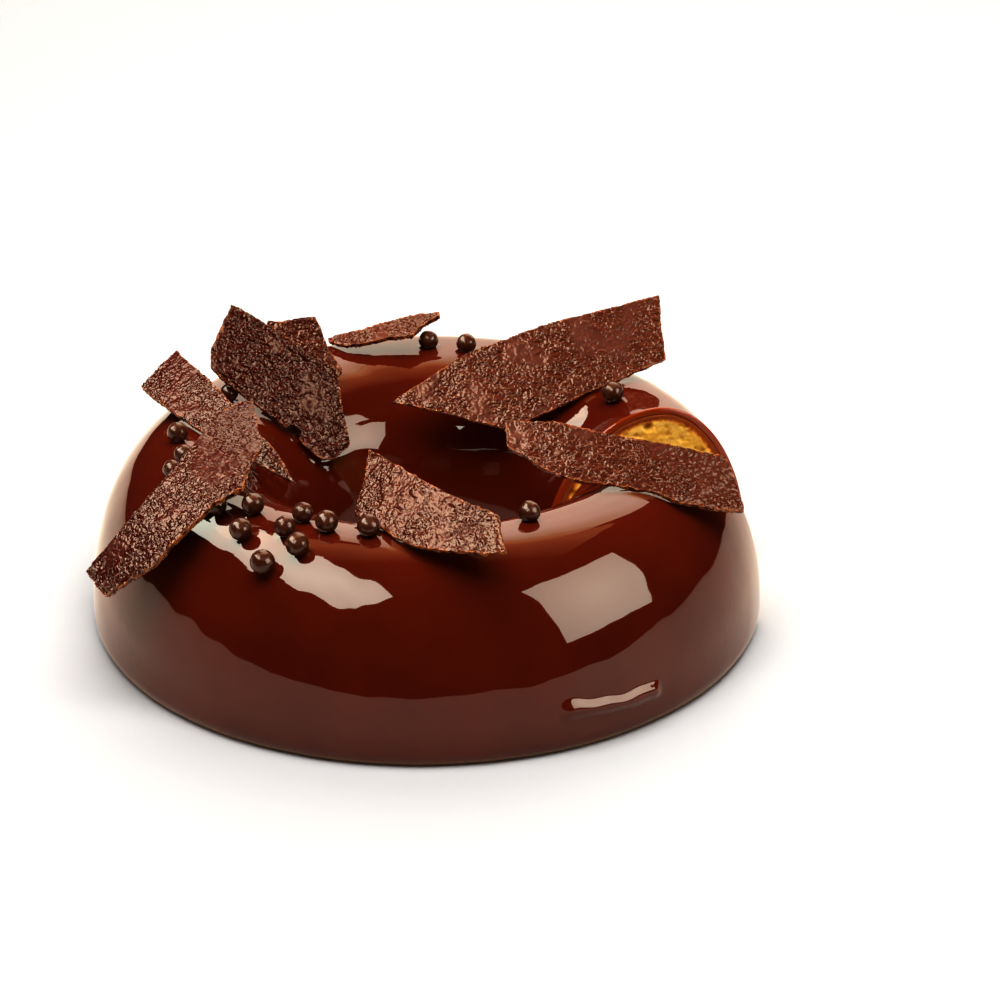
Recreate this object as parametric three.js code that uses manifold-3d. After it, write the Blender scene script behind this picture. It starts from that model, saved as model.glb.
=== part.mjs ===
// Glazed ring cake with one slice taken out, thin cocoa shards and chocolate pearls on top.
// Millimetres, +Z up. The origin is on the ring's axis at its base, and the missing slice is toward +X.
import * as THREE from 'three';
import { mergeVertices } from 'three/addons/utils/BufferGeometryUtils.js';
import Module from 'manifold-3d';

const wasm = await Module();
wasm.setup();

// Ring: the glazed section is two quarter ellipses that meet at the ridge
const ringRadius = 90;
const ridgeRadius = 64;
const holeRadius = 31.5;
const ringHeight = 50;
const wallFoot = 4;
const footCurl = 3.5;
const ringSteps = 60;
const archSteps = 9;

// Glaze: a skin over the sponge that stops just above the table
const glazeThick = 2;
const skinGap = 0.25;
const glazeClear = 0.6;

// Missing slice, in degrees from +X
const cutNear = -8.8;
const cutFar = 12.9;

// Fruit dice that the knife went through
const diceDepth = 7;
const diceGap = 0.35;

// Shards and pearls
const shardThick = 1.6;
const shardRipple = 0.15;
const rippleLength = 14;
const rowStep = 7;
const rowLeast = 1.5;
const tipTrim = 0.4;
const cellsAcross = 3;
const restGap = 0.3;

const deg = Math.PI / 180;

const sponge = new THREE.MeshStandardMaterial({ color: '#dcb455', roughness: 0.9, metalness: 0 });
const glaze = new THREE.MeshStandardMaterial({ color: '#431506', roughness: 0.06, metalness: 0 });
const fruit = new THREE.MeshStandardMaterial({ color: '#dfc37f', roughness: 0.55, metalness: 0 });
const brittle = new THREE.MeshStandardMaterial({ color: '#4b2a20', roughness: 0.4, metalness: 0 });
const pearlCoat = new THREE.MeshStandardMaterial({ color: '#2a1610', roughness: 0.35, metalness: 0 });

const group = new THREE.Group();
group.name = 'ring_cake';

function addMesh(name, geometry, material) {
  geometry.computeVertexNormals();
  const mesh = new THREE.Mesh(geometry, material.clone());
  mesh.name = name;
  group.add(mesh);
}

function toSolid(geometry) {
  geometry.deleteAttribute('normal');
  geometry.deleteAttribute('uv');
  const merged = mergeVertices(geometry, 1e-4);
  const vertProperties = new Float32Array(merged.attributes.position.array);
  const triVerts = new Uint32Array(merged.index.array);
  return new wasm.Manifold(new wasm.Mesh({ numProp: 3, vertProperties, triVerts }));
}

function toGeometry(solid) {
  const mesh = solid.getMesh();
  const geometry = new THREE.BufferGeometry();
  geometry.setAttribute('position', new THREE.BufferAttribute(new Float32Array(mesh.vertProperties), 3));
  geometry.setIndex(new THREE.BufferAttribute(new Uint32Array(mesh.triVerts), 1));
  return geometry;
}

// Height of the glazed surface and its outward direction at a radius
function surfaceAt(radius) {
  const half = radius > ridgeRadius ? ringRadius - ridgeRadius : ridgeRadius - holeRadius;
  const rise = ringHeight - wallFoot;
  const share = (radius - ridgeRadius) / half;
  const height = wallFoot + rise * Math.sqrt(1 - share * share);
  const out = new THREE.Vector2(share / half, (height - wallFoot) / (rise * rise)).normalize();
  return { height, out };
}

// Section from the outer foot over the ridge to the inner foot, set in by a distance
function archSection(inset, bottom) {
  const points = [];
  const curl = footCurl * (1 - bottom / wallFoot);
  points.push(new THREE.Vector2(ringRadius - inset - curl, bottom));
  for (let i = 0; i <= 2 * archSteps; i += 1) {
    const angle = (i / (2 * archSteps)) * Math.PI;
    const half = i < archSteps ? ringRadius - ridgeRadius : ridgeRadius - holeRadius;
    const r = ridgeRadius + (half - inset) * Math.cos(angle);
    const z = wallFoot + (ringHeight - wallFoot - inset) * Math.sin(angle);
    points.push(new THREE.Vector2(r, z));
  }
  points.push(new THREE.Vector2(holeRadius + inset + curl, bottom));
  return points;
}

function turned(section) {
  const closed = [...section, section[0].clone()];
  const geometry = new THREE.LatheGeometry(closed, ringSteps);
  geometry.rotateX(Math.PI / 2);
  return toSolid(geometry);
}

function sliceWedge() {
  const reach = ringRadius * 1.5;
  const shape = new THREE.Shape();
  shape.moveTo(0, 0);
  shape.lineTo(reach * Math.cos(cutNear * deg), reach * Math.sin(cutNear * deg));
  shape.lineTo(reach * Math.cos(cutFar * deg), reach * Math.sin(cutFar * deg));
  shape.closePath();
  const geometry = new THREE.ExtrudeGeometry(shape, { depth: ringHeight * 2, bevelEnabled: false });
  geometry.translate(0, 0, -ringHeight / 2);
  return toSolid(geometry);
}

// A prism on a cut face: corners are radius and height, and it runs into the cake behind the face
function facePrism(corners, cut, front, back) {
  const shape = new THREE.Shape(corners.map(([r, z]) => new THREE.Vector2(r, z)));
  const geometry = new THREE.ExtrudeGeometry(shape, { depth: back + front, bevelEnabled: false });
  geometry.translate(0, 0, cut === cutNear ? -front : -back);
  geometry.rotateX(Math.PI / 2);
  geometry.rotateZ(cut * deg);
  return geometry;
}

function shrunk(corners, gap) {
  const cr = corners.reduce((sum, c) => sum + c[0], 0) / corners.length;
  const cz = corners.reduce((sum, c) => sum + c[1], 0) / corners.length;
  return corners.map(([r, z]) => {
    const away = Math.hypot(r - cr, z - cz);
    return [r - ((r - cr) / away) * gap, z - ((z - cz) / away) * gap];
  });
}

const dice = [
  { cut: cutNear, corners: [[53, 33], [53.5, 29.5], [60, 30.5], [59, 36.5]] },
  { cut: cutNear, corners: [[62, 32.5], [62.5, 27.5], [66.5, 28], [66.5, 32]] },
  { cut: cutNear, corners: [[67.5, 29.5], [68, 25], [70, 21], [79, 28]] },
  { cut: cutNear, corners: [[47, 17.5], [47.5, 14.5], [56.5, 14], [57.5, 21.5], [49, 21.5]] },
  { cut: cutFar, corners: [[48, 26], [49, 20], [57, 21.5], [56, 28]] },
  { cut: cutFar, corners: [[66, 20.5], [67, 13.5], [75.5, 15], [74, 22]] },
  { cut: cutFar, corners: [[58, 13], [59, 8], [64, 9], [63, 14.5]] },
];

// Sponge with pockets for the dice, then the glaze over it
const wedge = sliceWedge();
const inset = glazeThick + skinGap;
let body = turned(archSection(inset, 0)).subtract(wedge);
for (const piece of dice) {
  body = body.subtract(toSolid(facePrism(piece.corners, piece.cut, 2, diceDepth)));
}
addMesh('sponge', toGeometry(body), sponge);

const outerSkin = archSection(0, glazeClear);
const innerSkin = archSection(glazeThick, glazeClear);
const shell = turned([...outerSkin, ...innerSkin.reverse()]).subtract(wedge);
addMesh('glaze', toGeometry(shell), glaze);

dice.forEach((piece, i) => {
  const prism = facePrism(shrunk(piece.corners, diceGap), piece.cut, 0, diceDepth - diceGap);
  addMesh(`fruit_${i + 1}`, toGeometry(toSolid(prism)), fruit);
});

// Rows along a shard: its corners, and more between corners that are far apart
function shardRows(outline) {
  const along = outline.map((corner) => corner[0]).sort((a, b) => a - b);
  const last = along[along.length - 1] - tipTrim;
  const kept = [along[0] + tipTrim];
  for (const u of along) {
    if (u > kept[kept.length - 1] + rowLeast && u < last - rowLeast) {
      kept.push(u);
    }
  }
  kept.push(last);
  const rows = [kept[0]];
  for (let i = 1; i < kept.length; i += 1) {
    const parts = Math.ceil((kept[i] - kept[i - 1]) / rowStep);
    for (let k = 1; k <= parts; k += 1) {
      rows.push(kept[i - 1] + ((kept[i] - kept[i - 1]) * k) / parts);
    }
  }
  return rows;
}

// Lowest and highest point of the outline across a row
function rowSpan(outline, u) {
  let low = Infinity;
  let high = -Infinity;
  outline.forEach(([u0, v0], i) => {
    const [u1, v1] = outline[(i + 1) % outline.length];
    if (u0 !== u1 && (u - u0) * (u - u1) <= 0) {
      const v = v0 + ((v1 - v0) * (u - u0)) / (u1 - u0);
      low = Math.min(low, v);
      high = Math.max(high, v);
    }
  });
  return [low, high];
}

// A thin sheet bent about its short axis, with slight waves and both faces split alike
function shardGeometry({ at, turn, bend, outline }) {
  const rows = shardRows(outline);
  const across = cellsAcross + 1;
  const positions = [];
  for (const side of [0.5, -0.5]) {
    for (const u of rows) {
      const [low, high] = rowSpan(outline, u);
      for (let j = 0; j < across; j += 1) {
        const v = low + ((high - low) * j) / cellsAcross;
        const wave = Math.sin((2 * Math.PI * u) / rippleLength) * Math.cos((2 * Math.PI * v) / rippleLength);
        const reach = bend + side * shardThick + shardRipple * wave;
        positions.push(reach * Math.sin(u / bend), v, reach * Math.cos(u / bend) - bend);
      }
    }
  }
  const index = [];
  const face = rows.length * across;
  const quad = (a, b, c, d) => index.push(a, b, c, a, c, d);
  for (let i = 0; i + 1 < rows.length; i += 1) {
    for (let j = 0; j < cellsAcross; j += 1) {
      const a = i * across + j;
      const b = a + across;
      quad(a, b, b + 1, a + 1);
      index.push(face + a, face + b + 1, face + b, face + a, face + a + 1, face + b + 1);
    }
    const near = i * across;
    const far = near + cellsAcross;
    quad(near, face + near, face + near + across, near + across);
    quad(far, far + across, face + far + across, face + far);
  }
  const end = (rows.length - 1) * across;
  for (let j = 0; j < cellsAcross; j += 1) {
    quad(j, j + 1, face + j + 1, face + j);
    quad(end + j, face + end + j, face + end + j + 1, end + j + 1);
  }
  const geometry = new THREE.BufferGeometry();
  geometry.setAttribute('position', new THREE.Float32BufferAttribute(positions, 3));
  geometry.setIndex(index);
  const [heading, rise, roll] = turn;
  const euler = new THREE.Euler(roll * deg, -rise * deg, heading * deg, 'ZYX');
  geometry.applyMatrix4(new THREE.Matrix4().makeRotationFromEuler(euler).setPosition(...at));
  return geometry;
}

// Each shard: middle point, turn as heading, rise and roll in degrees, bend radius, corners along and across
const shards = [
  {
    at: [-61, -49.5, 51.8],
    turn: [39, 32, 0],
    bend: 52,
    outline: [
      [-26, 14.5], [-29, 3], [-25, -0.5], [-15.5, -9], [-1, -11.5], [5, -11.5], [13, -13.5], [18.5, -8],
      [27.5, -1], [33, 8.5], [45, 29], [42, 30], [31.5, 24.5], [20, 16], [-1.5, 11], [-17.5, 11.5],
    ],
  },
  {
    at: [-52.5, -4, 52.5],
    turn: [-49, -12, 29],
    bend: 150,
    outline: [
      [-34.5, -6], [-19, -6.5], [-3.5, -5.5], [15.5, -2.5], [29, 1], [17.5, 4], [10.5, 4.5], [-5, 6],
      [-17, 7.5], [-30.5, 8], [-37.5, 9], [-36.5, 1.5],
    ],
  },
  {
    at: [-41, 23.5, 53.5],
    turn: [13, -28, 61],
    bend: 200,
    outline: [
      [-20, 16], [-18.5, 10], [-19, 6], [-21, 2.5], [-18.5, -4], [-6.5, -7.5], [5, -10.5], [12, -10],
      [11.5, -13], [18.5, -15.5], [22.5, -14], [26, -8.5], [19, 2.5], [15, 10], [-1.5, 13], [-10.5, 14.5],
    ],
  },
  {
    at: [-36, 42.5, 57],
    turn: [-6, -13, 54],
    bend: 200,
    outline: [
      [-11, 4.5], [-10.5, -1.5], [-7.5, -7], [3, -11.5], [11, -10], [13.5, -4], [7.5, 1.5], [4, 6.5],
      [2, 9], [-3, 7], [-6.5, 5],
    ],
  },
  {
    at: [-13.5, 57, 55.5],
    turn: [5, 13, 12],
    bend: 120,
    outline: [
      [-16.5, 3.5], [-15, -1.5], [-7, -4.5], [1, -5], [7.5, -6.5], [8.5, -3], [12, -1.5], [16.5, 1],
      [17, 3], [11.5, 4], [2, 3.5], [-6.5, 3], [-15, 4],
    ],
  },
  {
    at: [31, 33.5, 55],
    turn: [12, 12, 44],
    bend: 250,
    outline: [
      [-43.5, 2.5], [-39.5, 0.5], [-29.5, -6], [-16, -15], [-6.5, -15], [10, -12], [20, -10.5], [33.5, -8],
      [34.5, -6], [35.5, 2.5], [38, 11.5], [27.5, 11], [19.5, 11], [3.5, 11], [-8, 10], [-18.5, 9.5], [-34, 5],
    ],
  },
  {
    at: [49.5, -34, 56],
    turn: [-6, -11, 36],
    bend: 90,
    outline: [
      [-31.5, 7.5], [-29, -0.5], [-23.5, -3], [-17, -7], [-7, -8], [1, -7], [9.5, -6.5], [17, -7],
      [26.5, -5.5], [34.5, -3], [30, 6], [26.5, 10.5], [20.5, 9.5], [0, 7.5], [-7, 7.5], [-18.5, 8.5], [-23, 8],
    ],
  },
  {
    at: [2.5, -64.5, 57],
    turn: [-43, 2, 39],
    bend: 150,
    outline: [
      [-31.5, 11], [-27, 4.5], [-26.5, -1.5], [-26, -6.5], [-21.5, -7.5], [-10.5, -8.5], [-3, -10], [2.5, -10],
      [10, -8.5], [21.5, -5], [26, -2.5], [22.5, 0.5], [18.5, 5.5], [7.5, 5.5], [-4.5, 6.5], [-19.5, 9],
    ],
  },
];
shards.forEach((shard, i) => addMesh(`shard_${i + 1}`, shardGeometry(shard), brittle));

// Pearls: direction from +X in degrees, radius of the spot it rests on, diameter
const pearls = [
  [90.8, 59, 5.6], [80, 58, 5.7], [24.4, 56, 6], [158.6, 58.5, 5.1], [186.7, 65, 5.6], [199, 65, 5.3],
  [204, 69, 5.2], [224, 69.5, 5.4], [231, 65.5, 5.7], [233.7, 72.5, 5.7], [242, 69, 5.4], [242.8, 63, 5.4],
  [249.7, 65, 5.7], [246.6, 72.5, 5.9], [241.4, 77, 6.1], [259, 64.5, 5.7], [295.9, 61.5, 5.5],
];
pearls.forEach(([azimuth, radius, diameter], i) => {
  const { height, out } = surfaceAt(radius);
  const lift = diameter / 2 + restGap;
  const r = radius + out.x * lift;
  const ball = new THREE.SphereGeometry(diameter / 2, 9, 6);
  ball.rotateX(Math.PI / 2);
  ball.translate(r * Math.cos(azimuth * deg), r * Math.sin(azimuth * deg), height + out.y * lift);
  addMesh(`pearl_${i + 1}`, toGeometry(toSolid(ball)), pearlCoat);
});

export default group;
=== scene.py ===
# %% [markdown]
# # A cut ring cake under chocolate glaze
# The cake is a ring of yellow sponge under a poured chocolate glaze, open at a narrow gap with two
# cut faces. Thin cocoa shards and small chocolate pearls lie on it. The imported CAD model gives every
# size and place, so it is loaded first, and each piece below is then modelled over its CAD solid.

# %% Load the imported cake
import math

import bpy
from mathutils import Euler, Matrix, Quaternion, Vector, noise
from mathutils.bvhtree import BVHTree


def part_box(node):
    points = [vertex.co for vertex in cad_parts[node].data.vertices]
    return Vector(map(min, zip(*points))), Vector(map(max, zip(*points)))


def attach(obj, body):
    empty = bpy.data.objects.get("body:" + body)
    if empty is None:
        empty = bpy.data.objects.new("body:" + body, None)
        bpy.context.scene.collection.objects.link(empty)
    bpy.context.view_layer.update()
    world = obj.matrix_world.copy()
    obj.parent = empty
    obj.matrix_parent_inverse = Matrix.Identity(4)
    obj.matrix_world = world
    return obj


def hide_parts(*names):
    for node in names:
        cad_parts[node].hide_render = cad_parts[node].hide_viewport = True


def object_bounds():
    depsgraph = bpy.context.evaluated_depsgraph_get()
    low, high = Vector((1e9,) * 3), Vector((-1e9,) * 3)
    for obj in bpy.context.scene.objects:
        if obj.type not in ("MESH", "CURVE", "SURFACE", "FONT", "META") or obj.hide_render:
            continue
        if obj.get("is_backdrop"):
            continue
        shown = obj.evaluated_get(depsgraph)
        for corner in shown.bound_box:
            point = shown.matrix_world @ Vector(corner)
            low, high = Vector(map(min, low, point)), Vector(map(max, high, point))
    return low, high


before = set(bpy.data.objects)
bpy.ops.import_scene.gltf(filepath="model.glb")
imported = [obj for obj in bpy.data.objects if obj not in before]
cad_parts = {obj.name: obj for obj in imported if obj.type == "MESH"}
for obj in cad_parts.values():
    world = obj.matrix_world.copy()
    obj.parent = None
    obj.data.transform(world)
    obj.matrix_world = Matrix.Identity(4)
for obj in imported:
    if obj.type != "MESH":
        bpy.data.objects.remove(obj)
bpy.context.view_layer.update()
MM = 0.001

# %% [markdown]
# ## Helpers
# An operator works on whatever is selected. These helpers select one piece, or some points or
# faces of it by their place, and add a modifier and apply it at once. Points could be picked by
# their numbers too, but numbers change with every edit before them, and places don't.


# %% Select and apply
def alone(piece):
    """Leaves edit mode and makes this piece the only selected one."""
    if bpy.context.mode != "OBJECT":
        bpy.ops.object.mode_set(mode="OBJECT")
    bpy.ops.object.select_all(action="DESELECT")
    piece.select_set(True)
    bpy.context.view_layer.objects.active = piece


def pick(piece, test, kind="VERT"):
    """Goes into edit mode with those points or faces selected whose place passes a test."""
    alone(piece)
    bpy.ops.object.mode_set(mode="EDIT")
    bpy.ops.mesh.select_mode(type=kind)
    bpy.ops.mesh.select_all(action="DESELECT")
    bpy.ops.object.mode_set(mode="OBJECT")
    mesh = piece.data
    found = mesh.vertices if kind == "VERT" else mesh.polygons
    for part in found:
        part.select = test(part.co if kind == "VERT" else part.center)
    bpy.ops.object.mode_set(mode="EDIT")


def done():
    """Leaves edit mode."""
    bpy.ops.object.mode_set(mode="OBJECT")


def wear(piece, kind, **settings):
    """Adds a modifier and applies it."""
    alone(piece)
    made = piece.modifiers.new(kind.lower(), kind)
    for name, value in settings.items():
        setattr(made, name, value)
    bpy.ops.object.modifier_apply(modifier=made.name)


def place_on(piece, slot, material, *nodes):
    """Gives a finished piece its material, smooth shading and its body, and hides its CAD nodes."""
    piece.data.materials.clear()
    piece.data.materials.append(material)
    alone(piece)
    bpy.ops.object.shade_smooth()
    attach(piece, "root")
    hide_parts(*nodes)


def attribute(piece, name, values):
    """Stores one number for each point, for a material to read."""
    made = piece.data.attributes.new(name, "FLOAT", "POINT")
    made.data.foreach_set("value", values)


def soft_step(low, high, value):
    """Rises smoothly from 0 at low to 1 at high."""
    share = min(1.0, max(0.0, (value - low) / (high - low)))
    return share * share * (3.0 - 2.0 * share)


# %% [markdown]
# ## Textures for relief
# Relief could be a bump in the material, but a bump is lost at the outline and in an exported mesh.
# So relief that shows is real geometry here: a Displace modifier moves the points of a fine mesh by
# a texture whose size is given in millimetres.


# %% Displace by a texture
def relief(
    piece, kind, size, height, middle=0.5, stops=None, group="", direction="NORMAL", **settings
):
    """Moves the points of a piece by a texture whose features have this size."""
    texture = bpy.data.textures.new(piece.name + "_relief", kind)
    for name, value in {"noise_scale": size, **settings}.items():
        setattr(texture, name, value)
    if stops:
        texture.use_color_ramp = True
        ramp = texture.color_ramp.elements
        for element, (position, grey) in zip(ramp, stops):
            element.position = position
            element.color = (grey, grey, grey, 1.0)
    wear(
        piece,
        "DISPLACE",
        texture=texture,
        texture_coords="LOCAL",
        strength=height,
        mid_level=middle,
        vertex_group=group,
        direction=direction,
    )
    bpy.data.textures.remove(texture)


# %% [markdown]
# ## Nodes and colours
# Colours are written as sRGB hex values, as a colour picker shows them. Cycles works with
# linear light, so one function converts them. One more function adds a node to a material.


# %% Colour and node helpers
def paint(code):
    """Linear colour of an sRGB hex value."""
    parts = [int(code[i : i + 2], 16) / 255 for i in (1, 3, 5)]
    return [p / 12.92 if p <= 0.04045 else ((p + 0.055) / 1.055) ** 2.4 for p in parts] + [1.0]


def add(tree, kind, links=(), values=(), stops=(), **settings):
    """Adds a node with its settings, its sockets' values and what is linked to them."""
    made = tree.nodes.new("ShaderNode" + kind)
    for name, value in settings.items():
        setattr(made, name, value)
    for socket, value in dict(values).items():
        made.inputs[socket].default_value = value
    for socket, source in dict(links).items():
        tree.links.new(source, made.inputs[socket])
    for number, (position, code) in enumerate(stops):
        ramp = made.color_ramp.elements
        element = ramp[number] if number < len(ramp) else ramp.new(position)
        element.position = position
        element.color = paint(code)
    return made


def finish(name, **values):
    """A new material, its node tree and its shader, with constant values set on the shader."""
    material = bpy.data.materials.new(name)
    material.use_nodes = True
    tree = material.node_tree
    shader = tree.nodes["Principled BSDF"]
    for socket, value in values.items():
        shader.inputs[socket.replace("_", " ")].default_value = value
    print("material:", name)
    return material, tree, shader


# %% [markdown]
# ## The ring's measures
# The ring was baked in a savarin mould: in section its outside is a quarter of an ellipse
# from the foot up to the ridge, and its inside is another one down into the hole.

# %% Measures from the CAD
RING_R = 90 * MM
RIDGE_R = 64 * MM
HOLE_R = 31.5 * MM
TOP_Z = 50 * MM
WALL_Z = 4 * MM
FOOT_CURL = 3.5 * MM
GLAZE = 2 * MM
CUT_NEAR = math.radians(-8.8)
CUT_FAR = math.radians(12.9)
SWEEP = math.tau - CUT_FAR + CUT_NEAR
TINY = 0.01 * MM


def half_width(radius):
    """Width of the section from the ridge to the foot, on the side that this radius is on."""
    return RING_R - RIDGE_R if radius >= RIDGE_R else RIDGE_R - HOLE_R


def skin_normal(place):
    """Direction out of the glazed skin near a place."""
    radius = math.hypot(place.x, place.y)
    out = (radius - RIDGE_R) / half_width(radius) ** 2
    up = (place.z - WALL_Z) / (TOP_Z - WALL_Z) ** 2
    return Vector((place.x / radius * out, place.y / radius * out, up)).normalized()


print("sweep of the ring in degrees:", round(math.degrees(SWEEP), 1))


# %% [markdown]
# ## The section of the ring
# Both sponge and glaze start from the same line. It could be typed in point by point, but a circle
# gives evenly spaced points without typing any. It is stretched to the ring's height, its inner half
# is widened, its lower half is deleted, and each end is extruded down and under the foot. Each step
# under the foot is a share of the curl's width and of the wall's height.

# %% Draw the section
FOOT_STEPS = ((0.06, 0.42), (0.24, 0.36), (0.70, 0.22))


def section(name, points, inset):
    """An open line over the ring, upright at y = 0, moved inward from the skin by inset."""
    out = RING_R - RIDGE_R - inset
    inner = RIDGE_R - HOLE_R - inset
    tall = TOP_Z - WALL_Z - inset
    middle = (RIDGE_R, 0, WALL_Z)
    bpy.ops.object.select_all(action="DESELECT")
    bpy.ops.mesh.primitive_circle_add(
        vertices=points, radius=out, location=middle, rotation=(math.pi / 2, 0, 0)
    )
    line = bpy.context.object
    line.name = name
    bpy.ops.object.transform_apply()
    pick(line, lambda p: True)
    bpy.ops.transform.resize(value=(1, 1, tall / out), center_override=middle)
    pick(line, lambda p: p.x < RIDGE_R - TINY)
    bpy.ops.transform.resize(value=(inner / out, 1, 1), center_override=middle)
    pick(line, lambda p: p.z < WALL_Z - TINY)
    bpy.ops.mesh.delete(type="VERT")
    for side, foot in ((1, RIDGE_R + out), (-1, RIDGE_R - inner)):
        pick(line, lambda p: p.z < WALL_Z + TINY and abs(p.x - foot) < TINY)
        for across, down in FOOT_STEPS:
            step = (-side * across * FOOT_CURL, 0, -down * WALL_Z)
            bpy.ops.mesh.extrude_region_move(TRANSFORM_OT_translate={"value": step})
    done()
    return line


def sweep(line, steps):
    """Spins the section from the far cut round to the near cut."""
    line.rotation_euler.z = CUT_FAR
    alone(line)
    bpy.ops.object.transform_apply()
    pick(line, lambda p: True)
    bpy.ops.mesh.spin(steps=steps, angle=-SWEEP, center=(0, 0, 0), axis=(0, 0, 1))
    bpy.ops.mesh.select_all(action="SELECT")
    bpy.ops.mesh.remove_doubles(threshold=TINY)
    bpy.ops.mesh.normals_make_consistent(inside=False)
    done()


# %% [markdown]
# ## Glaze finish
# A chocolate mirror glaze is sugar syrup, cocoa and gelatine, poured warm. It sets smooth, so it
# shows sharp reflections over a very dark red-brown. Thin places, as at a cut, let light through
# and turn redder. A clear coat over a brown base could give the gloss too, but one smooth layer is
# enough, as nothing matt shows under it.

# %% Chocolate mirror glaze
glaze_finish, tree, shader = finish("chocolate_mirror_glaze", Roughness=0.03, IOR=1.45)
place = add(tree, "TexCoord").outputs["Object"]
GLAZE_CLOUD = 22 * MM
cloud = add(tree, "TexNoise", {"Vector": place}, {"Scale": 1 / GLAZE_CLOUD, "Detail": 2.0})
depth = add(
    tree, "ValToRGB", {"Fac": cloud.outputs["Fac"]}, stops=((0.35, "#5b1c09"), (0.7, "#65200b"))
)
thin = add(tree, "Attribute", attribute_name="thin").outputs["Fac"]
red = add(
    tree, "MixRGB", {"Fac": thin, "Color1": depth.outputs["Color"]}, {"Color2": paint("#943a12")}
)
tree.links.new(red.outputs["Color"], shader.inputs["Base Color"])
GLAZE_RIPPLE = 4 * MM
RIPPLE_DEPTH = 0.02 * MM
ripple = add(tree, "TexNoise", {"Vector": place}, {"Scale": 1 / GLAZE_RIPPLE, "Detail": 0.0})
bump = add(
    tree, "Bump", {"Height": ripple.outputs["Fac"]}, {"Strength": 1.0, "Distance": RIPPLE_DEPTH}
)
tree.links.new(bump.outputs["Normal"], shader.inputs["Normal"])

# %% [markdown]
# ## Glaze
# The glaze is a skin two millimetres thick. It could be no more than a colour on the sponge, but at
# the cut its thickness shows. So the section is spun round, Solidify gives it thickness inward, and
# the sharp edges that the knife left are rounded with a bevel. The mesh is fine, because a mirror
# shows every facet.

# %% Spin the glaze
GLAZE_POINTS = 200
GLAZE_STEPS = 320
KNIFE_EDGE = 0.5 * MM
SHARP = math.radians(50)
glaze = section("glaze_skin", GLAZE_POINTS, 0.0)
sweep(glaze, GLAZE_STEPS)
wear(glaze, "SOLIDIFY", thickness=GLAZE, offset=-1.0, use_even_offset=True)
wear(glaze, "BEVEL", width=KNIFE_EDGE, segments=3, limit_method="ANGLE", angle_limit=SHARP)
print("glaze points:", len(glaze.data.vertices))

# %% [markdown]
# The glaze sags off the ridge into the hole and gathers there. At the back the inside of the ring
# has a fuller shoulder than the sponge under it, and on the near right it has a low bead just inside
# the ridge. Both could be sculpted by hand, but a formula gives the same form on every run. A vertex
# group holds the rise of each point, and Displace moves it there. An arc of the ring is given by
# four angles in degrees: it fades in between the first two and out between the last two.


# %% Measure places on the skin
def section_level(p):
    """Where a place lies in the section: shares of its width and height, and 1.0 on the skin."""
    radius = math.hypot(p.x, p.y)
    across = abs(radius - RIDGE_R) / half_width(radius)
    up = max(0.0, p.z - WALL_Z) / (TOP_Z - WALL_Z)
    return across, up, math.hypot(across, up)


def within(limits, value):
    """Rises from 0 to 1 between the first two limits and falls to 0 between the last two."""
    return soft_step(limits[0], limits[1], value) * soft_step(limits[3], limits[2], value)


def angle_of(p):
    """Where round the ring a place lies, in degrees from the +X axis."""
    return math.degrees(math.atan2(p.y, p.x))


def group_of(piece, name, weight):
    """A vertex group with a weight for each point from its place."""
    group = piece.vertex_groups.new(name=name)
    for point in piece.data.vertices:
        share = weight(point.co)
        if share > 0.0:
            group.add([point.index], share, "REPLACE")


# %% [markdown]
# The shoulder follows a fuller curve than the sponge's ellipse, and the bead is a low swell across
# the skin. Both act on the outer skin only, inside the ridge.

# %% Fill the shoulder and raise the bead
ON_SKIN = 0.98
FULLER = 2.5
SHOULDER = 2.5 * MM
SHOULDER_ARC = (18, 45, 125, 160)
BEAD = 0.45 * MM
BEAD_ARC = (-85, -60, -26, -10)
BEAD_ACROSS = (0.02, 0.18, 0.2, 0.36)


def shoulder(p):
    """Share of the shoulder's rise at a place, none outside the ridge or away from the back."""
    across, up, level = section_level(p)
    if math.hypot(p.x, p.y) > RIDGE_R or level < ON_SKIN:
        return 0.0
    back = within(SHOULDER_ARC, angle_of(p))
    grow = 1.0 / (across**FULLER + up**FULLER) ** (1.0 / FULLER) - 1.0
    rise = grow * math.hypot(across * (RIDGE_R - HOLE_R), up * (TOP_Z - WALL_Z))
    return min(1.0, back * rise / SHOULDER)


def bead(p):
    """Share of the bead's rise at a place, on the near right only."""
    across, _, level = section_level(p)
    if math.hypot(p.x, p.y) > RIDGE_R or level < ON_SKIN:
        return 0.0
    return within(BEAD_ARC, angle_of(p)) * within(BEAD_ACROSS, across)


group_of(glaze, "shoulder", shoulder)
group_of(glaze, "bead", bead)
wear(glaze, "DISPLACE", strength=SHOULDER, mid_level=0.0, vertex_group="shoulder")
wear(glaze, "DISPLACE", strength=BEAD, mid_level=0.0, vertex_group="bead")
print("top of the glaze in mm:", round(max(v.co.z for v in glaze.data.vertices) / MM, 2))

# %% [markdown]
# Warm glaze wets what is set on it: it climbs a little at each pearl and at each place where a
# shard comes down. Joining the pieces with a Boolean would leave a sharp seam. So the mesh is
# subdivided near them, and each point rises by how close it is to the nearest topping.

# %% Raise the glaze round the toppings
WET_REACH = 2.2 * MM
WET_RISE = 0.7 * MM
corners = []
faces = []
for name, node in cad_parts.items():
    if name.startswith(("shard", "pearl")):
        faces += [[len(corners) + i for i in side.vertices] for side in node.data.polygons]
        corners += [point.co.copy() for point in node.data.vertices]
toppings = BVHTree.FromPolygons(corners, faces)


def closeness(p, reach):
    """1.0 on a topping, down to 0.0 at this reach from it, for places on the outer skin."""
    found = toppings.find_nearest(p, reach)[3]
    return 0.0 if found is None or section_level(p)[2] < ON_SKIN else 1.0 - found / reach


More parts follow.
